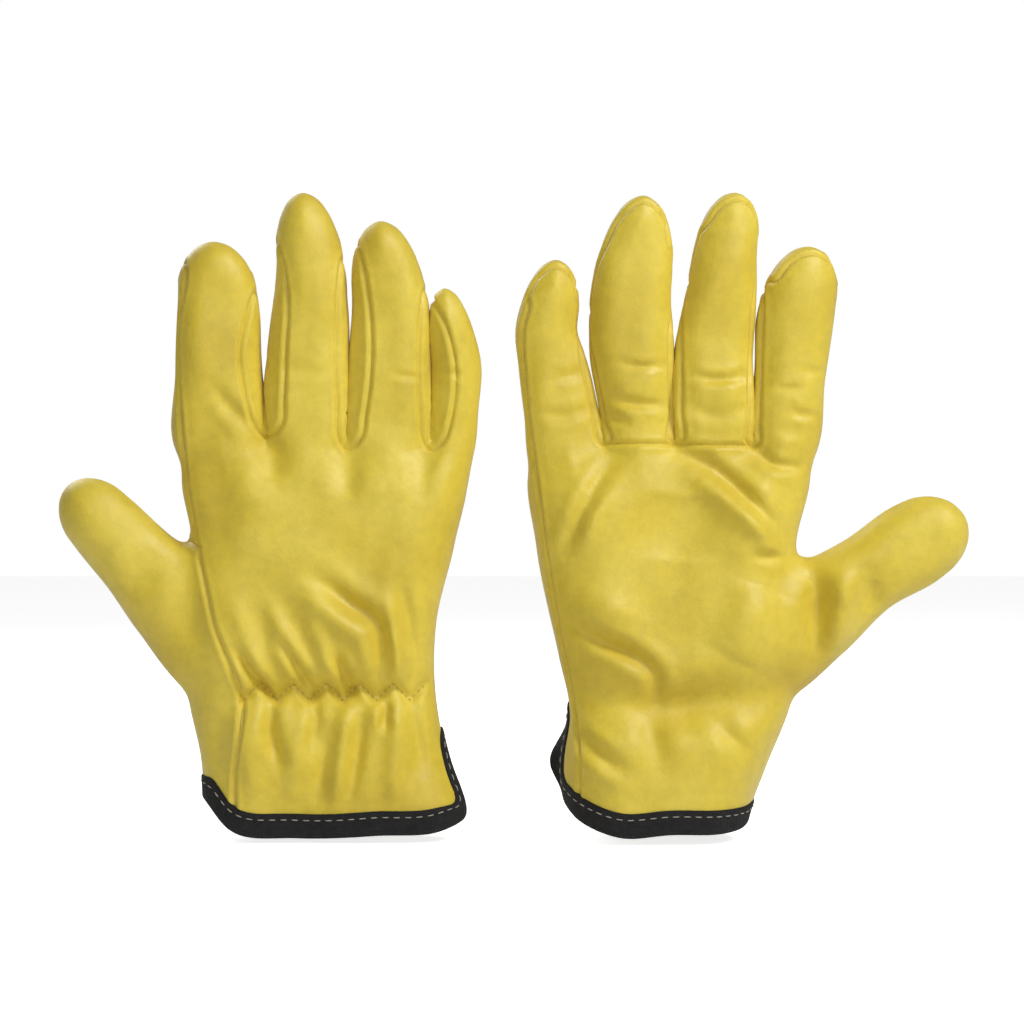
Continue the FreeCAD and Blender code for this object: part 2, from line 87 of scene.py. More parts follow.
# Columns of the table of points: place, panel seam, thumb gore, three gussets, finger roots and cuts.
PANEL, GORE, GUSSET, BASE, CUT, THUMB_CUT = 3, 4, 5, 8, 9, 13

# The hand's sides below the knuckles: height, the thumb side's x and the little finger side's x.
HAND_SIDES = {
    "first": [
        (-14, -47, 56), (2, -47, 56), (14, -47, 54), (30, -48, 48), (54, -53, 43), (84, -55, 43),
        (114, -52, 50), (146, -55, 55),
    ],
    "second": [
        (-14, -29, 36), (4, -30, 38), (28, -38, 41), (50, -47, 38), (70, -52, 42), (114, -50, 51),
        (146, -55, 53),
    ],
}
KNUCKLE_TOP = 164
CROTCH = 155

# Each finger and the thumb as stations from root to tip: x, height and width, then the tip itself.
LIMBS = {
    "first": {
        "index": [(-41, 150, 33), (-42, 182, 33), (-42, 210, 31), (-44, 232, 0)],
        "middle": [(-7, 150, 28), (-7, 188, 31), (-6, 223, 26), (-9, 251, 0)],
        "ring": [(24, 150, 30), (25, 184, 31), (25, 208, 29), (21, 240, 0)],
        "little": [(49, 150, 16), (50, 168, 19), (51, 184, 19), (46, 214, 0)],
        "thumb": [(-41, 74, 38), (-59, 93, 37), (-73, 108, 31), (-87, 123, 28), (-100, 137, 0)],
    },
    "second": {
        "index": [(-45, 150, 24), (-48, 180, 27), (-51, 208, 29), (-56, 230, 0)],
        "middle": [(-18, 150, 28), (-18, 190, 29), (-21, 212, 27), (-23, 230, 24), (-27, 251, 0)],
        "ring": [(11, 150, 25), (12, 168, 28), (14, 192, 32), (14, 212, 31), (9, 250, 0)],
        "little": [(39, 150, 28), (42, 168, 28), (45, 185, 26), (47, 198, 24), (43, 225, 0)],
        "thumb": [(-40, 77, 42), (-57, 88, 39), (-78, 103, 31), (-97, 115, 33), (-115, 126, 0)],
    },
}
# How far a limb's outline reaches below its first station, into the hand.
ROOT_REACH = 14
# Half thickness by height, then the finger's own half thickness.
HAND_HALF = {
    "first": [
        (-14, 19), (0, 19), (28, 18), (56, 16), (84, 18.5), (116, 17.5), (140, 15), (153, 13), (170, 10),
    ],
    "second": [
        (-14, 26), (0, 26), (28, 24.5), (56, 19), (84, 19), (116, 18), (140, 15), (153, 13), (170, 10),
    ],
}
FINGER_HALF = {"index": 10.8, "middle": 10.8, "ring": 10.5, "little": 9.0}
THUMB_HALF = 12.5

# The rim's height across the cuff on the back and on the palm.
RIM = {
    "first": (
        [(-60, 27), (-46, 15), (-36, 5), (-10, 2), (20, 3), (47, 5), (54, 8), (60, 13)],
        [(-60, 27), (-46, 15), (-24, 5), (0, 2), (47, 5), (60, 13)],
    ),
    "second": (
        [(-44, 14), (-20, 5), (0, 4), (18, 5), (44, 19)],
        [(-44, 12), (-32, 6), (0, 4), (20, 3), (34, 8), (46, 20)],
    ),
}
# The slit: its top's height, its half width at the rim and how far round it sits.
SLIT = {"first": (34.0, 6.0, 2.0), "second": (44.0, 8.0, -6.5)}

# Folds as (points, width, height): negative is a valley.
BACK_FOLDS = [
    ([(-42, 174), (-35, 166), (-28, 159)], 2.6, -1.3),
    ([(27, 179.5), (36, 179)], 1.3, -0.8),
    ([(45, 181), (54, 180)], 1.3, -0.6),
    ([(-18, 183), (-4, 181), (6, 182)], 2.2, -0.5),
    ([(-21, 156), (-19, 138)], 4.5, -1.8),
    ([(9, 150), (10, 132)], 4.5, -1.6),
    ([(40, 149), (37, 130)], 4.5, -1.6),
    ([(-44, 152), (-40, 130), (-40, 106)], 8.0, -1.8),
    ([(-2, 102), (10, 92), (21, 84), (23.5, 72), (22, 57)], 3.2, -2.7),
    ([(-10, 97), (4, 86), (14, 77), (17, 63)], 5.0, 2.4),
    ([(-32, 73), (-26, 64), (-19, 56)], 2.0, -2.7),
    ([(-16, 78), (-9, 66), (-3, 56)], 2.0, -2.7),
    ([(4, 73), (9, 63), (12, 56)], 1.9, -2.3),
    ([(30, 100), (33, 82), (35, 70), (34, 56)], 2.8, -2.3),
    ([(-34, 92), (-28, 76), (-24, 62)], 4.0, 1.6),
    ([(-21, 92), (-13, 75), (-8, 62)], 4.0, 2.8),
    ([(-5, 86), (1, 72), (4, 62)], 3.8, 2.3),
    ([(25, 84), (28, 72), (28, 62)], 3.4, 2.0),
    ([(40, 84), (39, 70), (39, 60)], 3.0, 1.2),
    ([(-20, 55), (-20, 44), (-17, 31)], 2.4, -2.2),
    ([(-3, 55), (-3, 44), (-5, 34)], 2.2, -1.6),
    ([(15, 52), (13, 34), (10, 16)], 2.4, -1.5),
    ([(3, 50), (0, 34), (-1, 18)], 2.6, -1.4),
    ([(24, 54), (24, 44)], 1.8, -2.4),
    ([(34, 55), (36, 40), (38, 28)], 2.2, -1.6),
    ([(9, 50), (7, 32), (5, 15)], 3.4, 1.8),
    ([(-28, 50), (-28, 34), (-26, 18)], 4.5, 1.9),
    ([(-11, 50), (-10, 34), (-12, 16)], 4.0, 1.8),
    ([(29, 50), (28, 34), (27, 16)], 4.0, 1.8),
    ([(-34, 57), (0, 58), (40, 57)], 5.0, -2.4),
    ([(-53, 106), (-51, 90), (-47, 76)], 5.0, -1.4),
    ([(-64, 112), (-72, 104), (-78, 98)], 5.0, -0.9),
    ([(-38, 50), (-41, 38), (-41, 24)], 4.0, -1.2),
]
# The elastic's zigzag seam: its start, its pace, its low and high corners and its count of corners.
ZIGZAG_START = -31
ZIGZAG_PACE = 6.4
ZIGZAG_HEIGHTS = (54.5, 61)
ZIGZAG_CORNERS = 12
ZIGZAG = [(ZIGZAG_START + ZIGZAG_PACE * i, ZIGZAG_HEIGHTS[i % 2]) for i in range(ZIGZAG_CORNERS)]
PALM_FOLDS = [
    ([(19, 184), (9, 183), (0, 183.5)], 1.4, -1.0),
    ([(23, 171), (11, 168.5), (-1, 168)], 1.8, -1.5),
    ([(21, 177), (2, 175.5)], 3.0, 0.9),
    ([(24, 164), (15, 161)], 1.7, -1.2),
    ([(-9, 179), (-20, 178), (-32, 180)], 1.7, -1.3),
    ([(-7, 167), (-20, 164), (-31, 167)], 2.2, -0.8),
    ([(-8, 173), (-30, 172)], 3.0, 0.7),
    ([(-52, 181), (-62, 181)], 1.5, -0.9),
    ([(-42, 174), (-51, 174.5)], 1.5, -1.0),
    ([(-47, 165), (-58, 164)], 1.7, -1.2),
    ([(-34, 151), (-39, 146), (-53, 144)], 2.0, -1.7),
    ([(-38, 154), (-54, 153)], 3.0, 0.9),
    ([(33, 181), (44, 178)], 1.8, -0.8),
    ([(28, 168), (40, 164), (50, 165)], 2.0, -0.8),
    ([(-3, 150), (-13, 146), (-34, 128), (-50, 110)], 3.0, -2.3),
    ([(-9, 140), (-28, 126), (-46, 113)], 4.5, 2.2),
    ([(31, 134), (35, 124), (40, 112)], 2.6, -1.7),
    ([(20, 149), (27, 138), (31, 126)], 2.8, -1.3),
    ([(24, 138), (28, 128), (33, 116)], 3.4, 1.2),
    ([(-32, 110), (-47, 109)], 1.9, -1.6),
    ([(40, 85), (27, 78), (14, 72), (6, 65), (5, 55)], 2.8, -2.5),
    ([(37, 95), (20, 87), (6, 78)], 7.0, 2.3),
    ([(38, 55), (0, 52), (-44, 58)], 7.0, -2.9),
    ([(-56, 106), (-57, 88), (-56, 70)], 4.0, -3.4),
    ([(-67, 106), (-66, 88), (-63, 74)], 5.0, 2.6),
    ([(-79, 101), (-77, 88)], 4.5, -2.2),
    ([(-37, 98), (-31, 83), (-24, 70)], 12.0, 3.4),
    ([(-4, 134), (-2, 108)], 16.0, -2.9),
    ([(37, 43), (28, 36), (20, 30)], 2.6, -2.2),
    ([(38, 35), (28, 27), (18, 24)], 3.0, 1.3),
    ([(-18, 46), (-30, 34)], 3.2, -1.6),
    ([(9, 47), (3, 30)], 4.0, -1.3),
]

# Seams. The long one runs from the index fingertip down the thumb side of the back to the rim.
LONG_SEAM = {
    "first": [
        (-34, -20), (-34, 26), (-31, 55), (-42, 84), (-48, 110), (-55, 154), (-56, 204), (-54, 222),
        (-70, 240),
    ],
    "second": [
        (-22, -20), (-24, 28), (-30, 56), (-41, 84), (-47, 107), (-55, 150), (-62, 204), (-60, 222),
        (-70, 240),
    ],
}
THUMB_CROTCH = {"first": (-52.0, 114.5), "second": (-53.0, 107.5)}
LITTLE_SEAM = {
    "first": [(52, -20), (41, 50), (41, 82), (50, 124), (55, 157), (57, 180), (53, 206), (58, 214)],
    "second": [(36, -20), (36, 50), (43, 86), (51, 140), (55, 175), (56, 199), (54, 208), (60, 218)],
}
# How far the fingertip seam lies inside the finger's end.
TIP_INSET = 3
BASE_SEAM = {
    "first": [(-60, 158), (-22, 157), (8, 152), (24, 154), (41, 151), (60, 155)],
    "second": [(-60, 152), (-3, 153), (60, 154)],
}
# Crotches: the middle of each gap from bottom to top.
GAPS = {
    "first": [
        [(-22, 140), (-22, 160), (-24.4, 188), (-23, 206), (-23, 225), (-26, 252)],
        [(8.5, 140), (8.5, 155), (9, 200), (9, 215), (10, 252)],
        [(40.6, 140), (40.6, 155), (40.7, 200), (41, 218), (40, 252)],
    ],
    "second": [
        [(-32.6, 140), (-32.6, 153), (-34.5, 200), (-36.5, 222), (-40, 252)],
        [(-3, 140), (-3, 154), (-2.8, 195), (-5, 215), (-7, 252)],
        [(24.6, 140), (24.6, 154), (27, 165), (32, 190), (33, 215), (32, 252)],
    ],
}
CLOSED_TO = {"first": (196, 212, 214), "second": (214, 206, 196)}
# How far each gusset strip shows on the back, to the left and to the right of its gap.
GUSSET_REACH = {
    "first": [(7, 8), (3, 8), (3, 9)],
    "second": [(3, 5), (3, 5), (3, 5)],
}
GUSSET_TOPS = {
    "first": [(220, 244), (240, 236), (222, 208)],
    "second": [(218, 242), (242, 240), (216, 216)],
}


def curve(points, closed=True, step=1.5):
    """A smooth line through given points, as evenly dense points."""
    p = np.array(points, float)
    q = np.roll(p, -1, 0) if closed else p[1:]
    starts = p if closed else p[:-1]
    long = np.linalg.norm(q - starts, axis=1)
    way = (q - starts) / long[:, None]
    if closed:
        before_way, before = np.roll(way, 1, 0), np.roll(long, 1)
        tangent = (before_way * long[:, None] + way * before[:, None]) / (long + before)[:, None]
        nxt = np.roll(tangent, -1, 0)
    else:
        inner = (way[:-1] * long[1:, None] + way[1:] * long[:-1, None]) / (long[1:] + long[:-1])[:, None]
        tangent = np.vstack([way[:1], inner, way[-1:]])
        nxt, tangent = tangent[1:], tangent[:-1]
    made = []
    for a, b, ta, tb, size in zip(starts, q, tangent, nxt, long):
        t = np.linspace(0, 1, max(2, int(math.ceil(size / step))) + 1)[:-1, None]
        made.append(
            a * (2 * t**3 - 3 * t**2 + 1) + ta * size * (t**3 - 2 * t**2 + t)
            + b * (3 * t**2 - 2 * t**3) + tb * size * (t**3 - t**2)
        )
    if not closed:
        made.append(p[-1:])
    return np.vstack(made)


def curve_of_corners(points):
    """Evenly dense points along straight lines between corners."""
    p = np.array(points, float)
    made = []
    for a, b in zip(p, p[1:]):
        count = max(2, int(np.linalg.norm(b - a) / 0.6))
        made += [a + (b - a) * t for t in np.linspace(0, 1, count, endpoint=False)]
    return made


def limb_outline(stations):
    """A closed outline: up one side of the stations, round the end as half an ellipse and back down."""
    p = np.array(stations, float)
    centre, half = p[:, :2], p[:, 2:] / 2
    ahead = np.diff(centre, axis=0)
    ahead = np.vstack([ahead[:1], (ahead[1:] + ahead[:-1]) / 2])
    ahead /= np.linalg.norm(ahead, axis=1)[:, None]
    left_way = np.stack([-ahead[:, 1], ahead[:, 0]], 1)
    left = centre[:-1] + left_way * half[:-1]
    right = centre[:-1] - left_way * half[:-1]
    end, tip = centre[-2], centre[-1]
    arc = [
        end + (left[-1] - end) * math.cos(turn) + (tip - end) * math.sin(turn)
        for turn in np.linspace(0, math.pi, 9)[1:-1]
    ]
    root = centre[0] - ahead[0] * ROOT_REACH
    return curve(np.vstack([left, arc, right[::-1], [root]]))


def hand_outline(glove):
    """Up the thumb side, over the knuckles with a dip at each finger gap, and down the other side."""
    left = [(x, z) for z, x, _ in HAND_SIDES[glove]]
    right = [(x, z) for z, _, x in HAND_SIDES[glove]]
    knuckles = [(LIMBS[glove][finger][0][0], KNUCKLE_TOP) for finger in FINGERS]
    dips = [(gap[1][0], CROTCH) for gap in GAPS[glove]]
    over = sorted(knuckles + dips)
    return curve(left + over + right[::-1])


def tip_seam(glove):
    """The fingertip seam's height across the glove, a little inside each finger's round end."""
    line = []
    for finger in FINGERS:
        (x, z, width), (tip_x, tip_z, _) = LIMBS[glove][finger][-2:]
        for turn in np.radians([150, 120, 90, 60, 30]):
            share = math.sin(turn)
            across = x + (tip_x - x) * share + width / 2 * math.cos(turn)
            line.append((across, z + (tip_z - z) * share - TIP_INSET))
    return line


def smooth(low, high, value):
    t = np.clip((value - low) / (high - low), 0, 1)
    return t * t * (3 - 2 * t)


def distance_to_line(line, x, z, closed=False):
    """Distance from (x, z) to a polyline, and the share of the line's length at the nearest point."""
    a = line if closed else line[:-1]
    b = np.roll(line, -1, 0) if closed else line[1:]
    long = np.linalg.norm(b - a, axis=1)
    total = long.sum()
    best = np.full(x.shape, 1e9)
    share = np.zeros(x.shape)
    run = 0.0
    for (ax, az), (bx, bz), size in zip(a, b, long):
        dx, dz = bx - ax, bz - az
        t = np.clip(((x - ax) * dx + (z - az) * dz) / max(size * size, 1e-9), 0, 1)
        d = (x - ax - t * dx) ** 2 + (z - az - t * dz) ** 2
        nearer = d < best
        best = np.where(nearer, d, best)
        share = np.where(nearer, (run + t * size) / total, share)
        run += size
    return np.sqrt(best), share


def inside_distance(line, x, z):
    """Signed distance to a closed outline: positive inside."""
    d, _ = distance_to_line(line, x, z, closed=True)
    inside = np.zeros(x.shape, bool)
    for (ax, az), (bx, bz) in zip(line, np.roll(line, -1, 0)):
        if az == bz:
            continue
        spans = (az > z) != (bz > z)
        inside ^= spans & (x < (bx - ax) * (z - az) / (bz - az) + ax)
    return np.where(inside, d, -d)


def folds(strokes, x, z):
    """The surface's rise over a grid, from soft strokes that fade at both ends."""
    rise = np.zeros(x.shape)
    for points, width, height in strokes:
        line = curve(points, closed=False, step=2.0)
        d, share = distance_to_line(line, x, z)
        fade = np.sqrt(np.clip(np.sin(np.pi * np.clip(share, 0.02, 0.98)), 0, 1))
        rise += height * fade * np.exp(-((d / width) ** 2))
        if height < 0:
            rise += -0.35 * height * fade * np.exp(-(((d - 2.1 * width) / (1.1 * width)) ** 2))
    return FOLD_DEPTH * rise


def unevenness(x, z, seed):
    """Slow, shallow ups and downs of soft leather."""
    rng = np.random.default_rng(seed)
    rise = np.zeros(x.shape)
    for _ in range(26):
        wave = rng.uniform(14, 52)
        turn = rng.uniform(0, math.pi)
        phase = rng.uniform(0, 2 * math.pi)
        along = x * math.cos(turn) + z * math.sin(turn)
        rise += 0.0042 * wave * np.cos(2 * math.pi * along / wave + phase)
    return rise


def soft_min(a, b, reach):
    h = np.clip(1 - np.abs(a - b) / reach, 0, 1)
    return np.minimum(a, b) - h * h * reach / 4


def interp(points, value):
    """A smooth graph through given points."""
    p = curve(points, closed=False, step=1.0)
    p = p[np.argsort(p[:, 0], kind="stable")]
    return np.interp(value, p[:, 0], p[:, 1])


def across(line, z):
    """The x of an upright line of (x, height) points at each height."""
    return interp([(height, x) for x, height in line], z)


def relax(values, triangles, times):
    """Averages each point's value with its neighbours'."""
    n = len(values)
    flat = triangles.ravel()
    count = np.maximum(np.bincount(flat, minlength=n), 1)
    for _ in range(times):
        face = values[triangles].mean(1)
        values = np.bincount(flat, np.repeat(face, 3), n) / count
    return values


def glove_surface(glove):
    """The glove's outer skin as triangles, before it is cut: a field of two stacked height maps."""
    xs = np.arange(-122, 68, CELL)
    ys = np.arange(-34, 34 + CELL, CELL)
    zs = np.arange(-12, 256, CELL)
    x, z = np.meshgrid(xs, zs, indexing="ij")
    back_rise = folds(BACK_FOLDS, x, z) + unevenness(x, z, 3 if glove == "first" else 4)
    palm_rise = folds(PALM_FOLDS, x, z) + unevenness(x, z, 5 if glove == "first" else 6)
    zig, _ = distance_to_line(np.array(ZIGZAG, float), x, z)
    back_rise -= 2.6 * np.exp(-((zig / 1.4) ** 2))
    y = ys[None, :, None]
    palm_side = smooth(-2.0, 2.0, y)
    rise = back_rise[:, None, :] * (1 - palm_side) + palm_rise[:, None, :] * palm_side

    def inflate(d, half, edge, share=1.0):
        thick = half + share * rise
        thick = np.maximum(thick, 3.0)
        rim = np.clip(1 - d / edge, 0, None)
        return (np.sqrt(rim**2 + (y / thick) ** 2) - 1) * np.minimum(half, edge)

    d = inside_distance(hand_outline(glove), x, z)[:, None, :]
    if glove == "second":
        flare = FLARE * np.exp(-(((z - FLARE_HEIGHT) / FLARE_SPAN) ** 2)) * smooth(22, 38, x)
        d = d + flare[:, None, :] * (1 - smooth(-5.0, 1.0, y))
    half = interp(HAND_HALF[glove], zs)
    kernel = np.ones(int(18 / CELL)) / int(18 / CELL)
    half = np.convolve(np.pad(half, 20, mode="edge"), kernel, "same")[20:-20][None, None, :]
    edge = 23.0 if glove == "first" else 25.0
    hand = inflate(d, half, edge)
    d = inside_distance(limb_outline(LIMBS[glove]["thumb"]), x, z)[:, None, :]
    thumb = inflate(d, THUMB_HALF, 14.5, 0.8)
    hand = soft_min(hand, thumb, 7.0)
    whole = hand
    for finger in FINGERS:
        d = inside_distance(limb_outline(LIMBS[glove][finger]), x, z)[:, None, :]
        half_f = FINGER_HALF[finger] - 0.018 * np.clip(z - 190, 0, 60)[:, None, :]
        whole = np.minimum(whole, soft_min(inflate(d, half_f, 12.5, 0.85), hand, 4.0))
    grid = openvdb.FloatGrid(3.0)
    grid.copyFromArray(np.clip(whole, -3, 3).astype(np.float32))
    points, quads = grid.convertToQuads()
    points = np.array(points, float) * CELL + np.array([xs[0], ys[0], zs[0]])
    quads = np.array(quads, int)
    triangles = np.vstack([quads[:, [0, 1, 2]], quads[:, [0, 2, 3]]])
    edges = np.vstack([triangles[:, [0, 1]], triangles[:, [1, 2]], triangles[:, [2, 0]]])
    degree = np.bincount(edges.ravel(), minlength=len(points)).astype(float)[:, None]
    for turn in range(8):
        total = np.zeros_like(points)
        for axis in range(3):
            total[:, axis] = np.bincount(edges[:, 0], points[edges[:, 1], axis], len(points))
            total[:, axis] += np.bincount(edges[:, 1], points[edges[:, 0], axis], len(points))
        points += (0.5 if turn % 2 == 0 else -0.52) * (total / degree - points)
    a, b, c = (points[triangles[:, i]] for i in range(3))
    volume = np.einsum("ij,ij->i", a, np.cross(b, c)).sum()
    if volume < 0:
        triangles = triangles[:, ::-1]
    return points, triangles


def close_gaps(glove, p):
    """Brings the fingers' sides together below the height where the gaps close."""
    for gap, top in zip(GAPS[glove], CLOSED_TO[glove]):
        away = p[:, 0] - across(gap, p[:, 2])
        low = gap[1][1]
        here = smooth(low - 2, low + 3, p[:, 2]) * (1 - smooth(top - 16, top, p[:, 2]))
        p[:, 0] -= 0.72 * np.sign(away) * np.exp(-((away / 3.2) ** 4)) * here
    return p


def face_normals(points, triangles):
    a, b, c = (points[triangles[:, i], :3] for i in range(3))
    return np.cross(b - a, c - a)


def vertex_normals(points, triangles):
    faces = face_normals(points, triangles)
    normals = np.zeros((len(points), 3))
    for corner in range(3):
        for axis in range(3):
            normals[:, axis] += np.bincount(triangles[:, corner], faces[:, axis], len(points))
    return normals / np.maximum(np.linalg.norm(normals, axis=1), 1e-12)[:, None]


def even_out(points, triangles, values):
    """Divides a function by its slope along the surface, so that its levels are distances."""
    cross = face_normals(points, triangles)
    double = np.maximum(np.linalg.norm(cross, axis=1), 1e-9)
    unit = cross / double[:, None]
    a, b, c = (points[triangles[:, i], :3] for i in range(3))
    fa, fb, fc = (values[triangles[:, i]][:, None] for i in range(3))
    slope = fa * np.cross(unit, c - b) + fb * np.cross(unit, a - c) + fc * np.cross(unit, b - a)
    slope = np.linalg.norm(slope, axis=1) / double
    total = np.zeros(len(points))
    weight = np.zeros(len(points))
    for corner in range(3):
        total += np.bincount(triangles[:, corner], slope * double, len(points))
        weight += np.bincount(triangles[:, corner], double, len(points))
    return values / np.maximum(relax(total / np.maximum(weight, 1e-9), triangles, 6), 0.2)


def split(points, triangles, column, level):
    """Cuts the triangles where one of the columns passes a level."""
    value = points[:, column] - level
    value = np.where(np.abs(value) < 0.06, 0.0, value)
    sign = np.sign(value)
    corner_sign = sign[triangles]
    crossed = (corner_sign.min(1) < 0) & (corner_sign.max(1) > 0)
    if not crossed.any():
        return points, triangles
    work, n = triangles[crossed], len(points)
    after = np.roll(work, -1, 1)
    cut = sign[work] * sign[after] < 0
    key = np.minimum(work, after) * n + np.maximum(work, after)
    unique, inverse = np.unique(key[cut], return_inverse=True)
    a, b = unique // n, unique % n
    share = value[a] / (value[a] - value[b])
    fresh = points[a] + (points[b] - points[a]) * share[:, None]
    fresh[:, column] = level
    middle = np.full(key.shape, -1)
    middle[cut] = n + inverse
    count = cut.sum(1)
    made = [triangles[~crossed]]
    for k in range(3):
        m = (count == 1) & cut[:, k]
        a, b, c, p = work[m, k], work[m, (k + 1) % 3], work[m, (k + 2) % 3], middle[m, k]
        made += [np.stack([a, p, c], 1), np.stack([p, b, c], 1)]
        m = (count == 2) & ~cut[:, k]
        c, a, b = work[m, k], work[m, (k + 1) % 3], work[m, (k + 2) % 3]
        p, q = middle[m, (k + 1) % 3], middle[m, (k + 2) % 3]
        made += [np.stack([p, b, q], 1), np.stack([a, p, q], 1), np.stack([a, q, c], 1)]
    return np.vstack([points, fresh]), np.vstack(made)


def two_sided(on_back, on_palm, y):
    """A function with one reading on the back and another on the palm."""
    t = smooth(-2.5, 2.5, y)
    return on_back * (1 - t) + on_palm * t


def rim_height(glove, p):
    x, y, z = p[:, 0], p[:, 1], p[:, 2]
    back, palm = RIM[glove]
    t = smooth(-14, 14, y)
    above = z - (interp(back, x) * (1 - t) + interp(palm, x) * t)
    top, half, centre = SLIT[glove]
    width = half * np.clip(1 - z / top, 0, 1)
    beside = np.where(z < top, np.abs(y - centre) - width, np.hypot(z - top, y - centre))
    beside = beside / SLIT_SLOPE + SLIT_FADE * np.clip(SLIT_FROM - x, 0, None)
    return soft_min(above, beside, RIM_BLEND)


def gusset_lines(glove):
    """Closed outlines of the gusset strips, on the back and on the palm."""
    made = []
    for j, gap in enumerate(GAPS[glove]):
        line = np.array(gap, float)
        low = line[1, 1]
        left_top, right_top = GUSSET_TOPS[glove][j]

        def side(share, reach, top):
            made_points = []
            for level in np.linspace(low, top, 9):
                t = (level - low) / (top - low)
                x = np.interp(level, line[:, 1], line[:, 0])
                bulge = math.sin(math.pi * min(t * 0.9 + 0.12, 1)) ** 0.7
                made_points.append((x + share * (1.2 + reach * bulge), level))
            return made_points

        lines = []
        for (left_reach, right_reach), drop in ((GUSSET_REACH[glove][j], 4.0), ((0.9, 0.9), 1.0)):
            left = side(-1, left_reach, left_top)
            right = side(1, right_reach, right_top)
            bottom = [(line[1, 0], low - drop)]
            lines.append(left[::-1] + bottom + right)
        made.append([curve(points, step=1.5) for points in lines])
    return made


def joint_of(glove, finger):
    return next(j for j in frame["joints"] if j["name"] == f"{glove}_{finger}_bend")


def to_glove(glove, point):
    offset, sign = PLACE[glove]
    return np.array([(point[0] / MM - offset) * sign, point[1] / MM * sign, point[2] / MM])


def to_world(glove, points):
    offset, sign = PLACE[glove]
    return np.stack([points[:, 0] * sign + offset, points[:, 1] * sign, points[:, 2]], 1) * MM


def hinge_frame(glove, finger):
    """The hinge's place and the finger's direction, in the glove frame."""
    joint = joint_of(glove, finger)
    axis = np.array(joint["axis"], float) * np.array([PLACE[glove][1], PLACE[glove][1], 1])
    way = np.cross(axis, [0, 1, 0])
    way /= np.linalg.norm(way)
    if way[2] < 0:
        way = -way
    return to_glove(glove, joint["pos_m"]), way


def make_mesh(name, points, triangles, corner_normals=None):
    mesh = bpy.data.meshes.new(name)
    mesh.vertices.add(len(points))
    mesh.vertices.foreach_set("co", np.asarray(points, np.float32).ravel())
    mesh.loops.add(len(triangles) * 3)
    mesh.loops.foreach_set("vertex_index", np.asarray(triangles, np.int32).ravel())
    mesh.polygons.add(len(triangles))
    mesh.polygons.foreach_set("loop_start", np.arange(0, len(triangles) * 3, 3, dtype=np.int32))
    mesh.update(calc_edges=True)
    mesh.polygons.foreach_set("use_smooth", np.ones(len(triangles), bool))
    if corner_normals is not None:
        mesh.normals_split_custom_set(corner_normals.tolist())
    mesh.update()
    obj = bpy.data.objects.new(name, mesh)
    bpy.context.scene.collection.objects.link(obj)
    return obj


def shell(glove, name, points, normals, triangles, outer, inner, material, way=None):
    """A closed piece of cloth: the given triangles, thickened from the outer to the inner offset."""
    way = normals if way is None else way
    used, index = np.unique(triangles, return_inverse=True)
    local = index.reshape(-1, 3)
    n = len(used)
    p, nrm = points[used, :3], normals[used]
    top = p + way[used] * outer[used][:, None]
    low = p + way[used] * inner[used][:, None]
    edges = np.vstack([local[:, [0, 1]], local[:, [1, 2]], local[:, [2, 0]]])
    key = edges[:, 0] * n + edges[:, 1]
    twin = edges[:, 1] * n + edges[:, 0]
    rim = edges[~np.isin(key, twin)]
    a, b = rim[:, 0], rim[:, 1]
    rim_faces = np.vstack([np.stack([b, a, a + n], 1), np.stack([b, a + n, b + n], 1)])
    faces = np.vstack([local, local[:, ::-1] + n, rim_faces])
    both = to_world(glove, np.vstack([top, low]))
    turned = np.vstack([nrm, -nrm]) * np.array([PLACE[glove][1], PLACE[glove][1], 1])
    corner = turned[faces]
    flat = face_normals(both, rim_faces)
    flat /= np.maximum(np.linalg.norm(flat, axis=1), 1e-15)[:, None]
    corner[len(local) * 2:] = flat[:, None, :]
    obj = make_mesh(name, both, faces, corner.reshape(-1, 3))
    obj.data.materials.append(material)
    return obj


def boundary_groove(points, triangles, labels):
    """How deep each point sinks where two differently named panels meet."""
    edges = np.vstack([triangles[:, [0, 1]], triangles[:, [1, 2]], triangles[:, [2, 0]]])
    owner = np.tile(labels, 3)
    key = np.minimum(edges[:, 0], edges[:, 1]) * len(points) + np.maximum(edges[:, 0], edges[:, 1])
    order = np.argsort(key, kind="stable")
    key, owner, edges = key[order], owner[order], edges[order]
    same = key[1:] == key[:-1]
    seam = edges[:-1][same & (owner[1:] != owner[:-1])]
    a, b = points[seam[:, 0], :3], points[seam[:, 1], :3]
    marks = np.vstack([a, b, (a + b) / 2, (3 * a + b) / 4, (a + 3 * b) / 4])
    tree = KDTree(len(marks))
    for i, mark in enumerate(marks.tolist()):
        tree.insert(mark, i)
    tree.balance()
    far = 5.0
    coarse = set(map(tuple, np.unique(np.floor(marks / far).astype(int), axis=0).tolist()))
    steps = [(u, v, w) for u in (-1, 0, 1) for v in (-1, 0, 1) for w in (-1, 0, 1)]
    near_cells = {(i + u, j + v, k + w) for i, j, k in coarse for u, v, w in steps}
    cells = np.floor(points[:, :3] / far).astype(int).tolist()
    away = np.full(len(points), far)
    for i, cell in enumerate(cells):
        if tuple(cell) in near_cells:
            away[i] = min(tree.find(points[i, :3].tolist())[2], far)
    sink = -SEAM_DEPTH * np.clip(1 - away / SEAM_REACH, 0, 1) ** 1.6
    lip = LIP_HEIGHT * np.exp(-(((away - LIP_PLACE) / LIP_WIDTH) ** 2))
    return sink + lip


